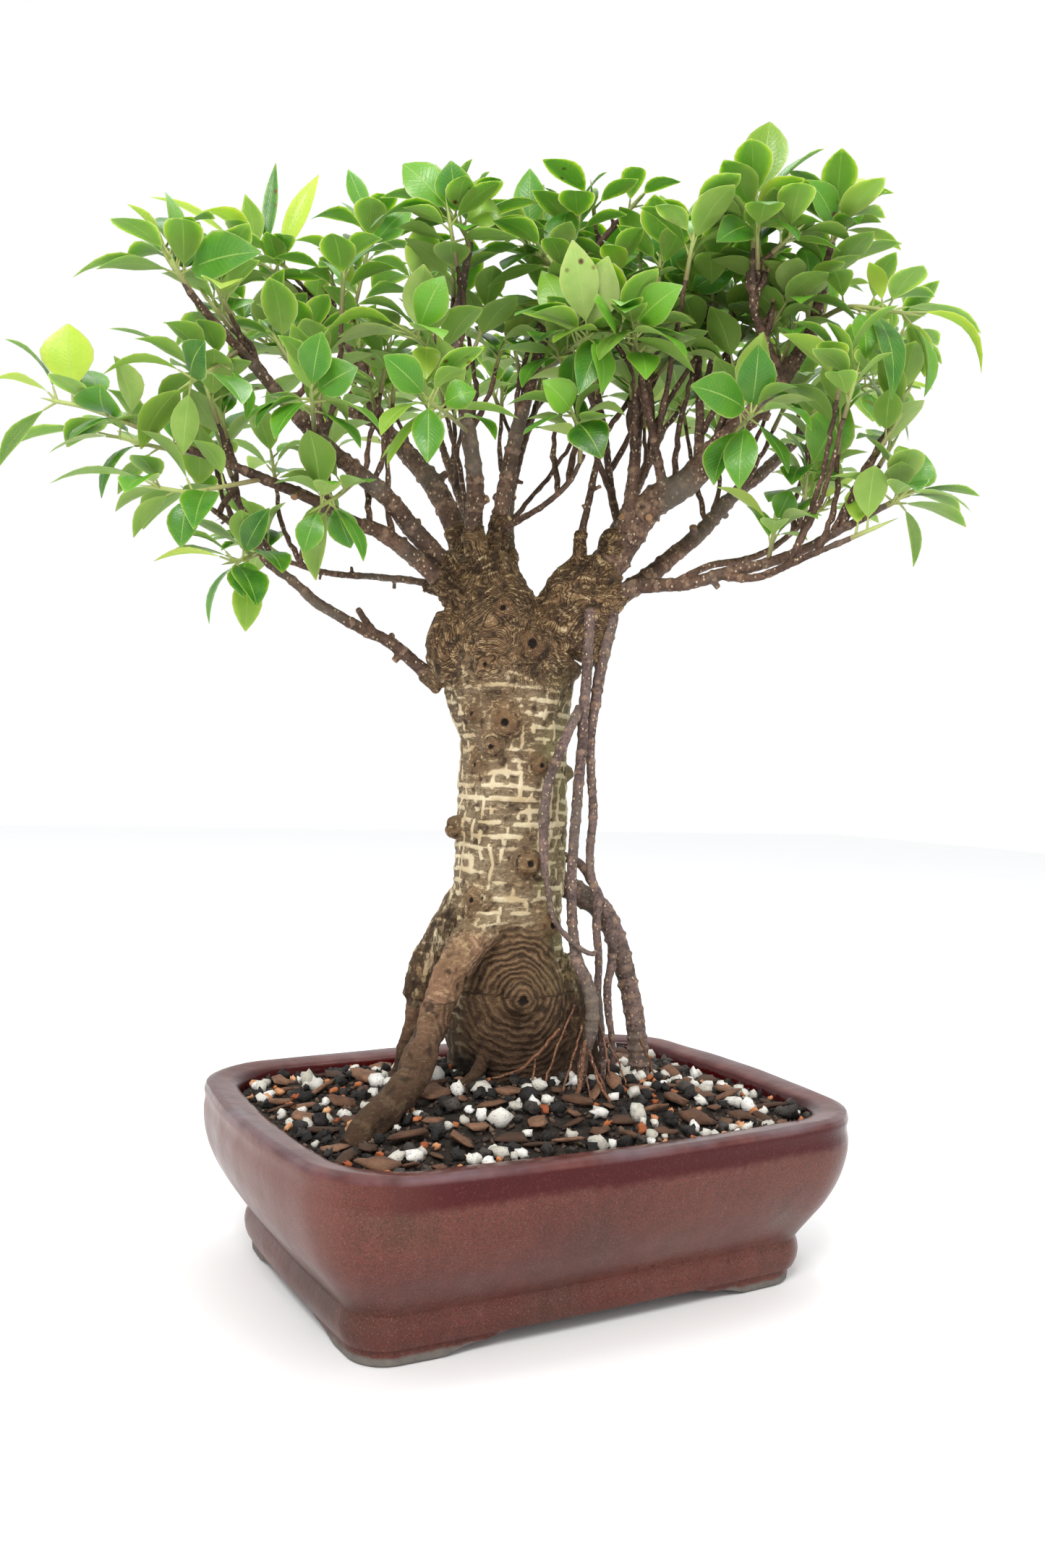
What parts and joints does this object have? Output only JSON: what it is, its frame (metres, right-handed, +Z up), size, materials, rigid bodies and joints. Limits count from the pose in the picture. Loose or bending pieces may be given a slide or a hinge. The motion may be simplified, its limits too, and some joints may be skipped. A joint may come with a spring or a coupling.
{
  "type": "bonsai tree in a pot",
  "caption": "Broad-leaved fig bonsai with a heavy ringed trunk, aerial roots and leafy shoots in a glazed oblong pot with feet.",
  "frame": {"origin": "centre of the bounding box on the surface that the pot's feet stand on", "axes": "+Z up; X along the pot's long side; -Y is the front long side of the pot"},
  "size_m": [0.5275, 0.3812, 0.614],
  "materials": {
    "glaze": "satin to gloss glaze",
    "soil": "loose grains",
    "screen": "matte",
    "bark": "ridged pale bark",
    "root_bark": "ringed bark",
    "twig_bark": "smooth speckled bark",
    "leaf": "glossy leaf"
  },
  "bodies": {
    "root": {"aerial_root_back": "root_bark", "aerial_root_front": "root_bark", "aerial_root_long": "root_bark", "aerial_root_outer": "root_bark", "aerial_root_prop": "root_bark", "branch_back_left": "twig_bark", "branch_back_middle": "twig_bark", "branch_back_right": "twig_bark", "branch_left_crown": "twig_bark", "branch_left_mid": "twig_bark", "branch_left_rise": "twig_bark", "branch_left_thin": "twig_bark", "branch_low_left": "twig_bark", "branch_right_low": "twig_bark", "branch_right_main": "twig_bark", "branch_right_rise": "twig_bark", "branch_right_twig": "twig_bark", "branch_upright_centre": "twig_bark", "branch_upright_left": "twig_bark", "drain_screen_left": "screen", "drain_screen_right": "screen", "pot": "glaze", "shoot_back_left": "leaf", "shoot_back_middle": "leaf", "shoot_back_right": "leaf", "shoot_centre_cross": "leaf", "shoot_centre_front": "leaf", "shoot_centre_right_front": "leaf", "shoot_centre_top": "leaf", "shoot_far_left": "leaf", "shoot_left_crown_back": "leaf", "shoot_left_crown_outer": "leaf", "shoot_left_crown_top": "leaf", "shoot_left_front_low": "leaf", "shoot_left_high": "leaf", "shoot_left_middle": "leaf", "shoot_left_rise_front": "leaf", "shoot_left_rise_low": "leaf", "shoot_left_thin_tip": "leaf", "shoot_low_left_drop": "leaf", "shoot_low_left_inner": "leaf", "shoot_low_left_outer": "leaf", "shoot_right_big": "leaf", "shoot_right_crown_tip": "leaf", "shoot_right_front_top": "leaf", "shoot_right_inner": "leaf", "shoot_right_inner_front": "leaf", "shoot_right_low_middle": "leaf", "shoot_right_low_tip": "leaf", "shoot_right_mid_top": "leaf", "shoot_right_middle": "leaf", "shoot_right_rise_tip": "leaf", "shoot_right_twig_front": "leaf", "shoot_right_twig_top": "leaf", "shoot_right_yellow": "leaf", "shoot_upright_left_front": "leaf", "shoot_upright_left_top": "leaf", "soil_bed": "soil", "trunk": "bark"}
  },
  "joints": []
}
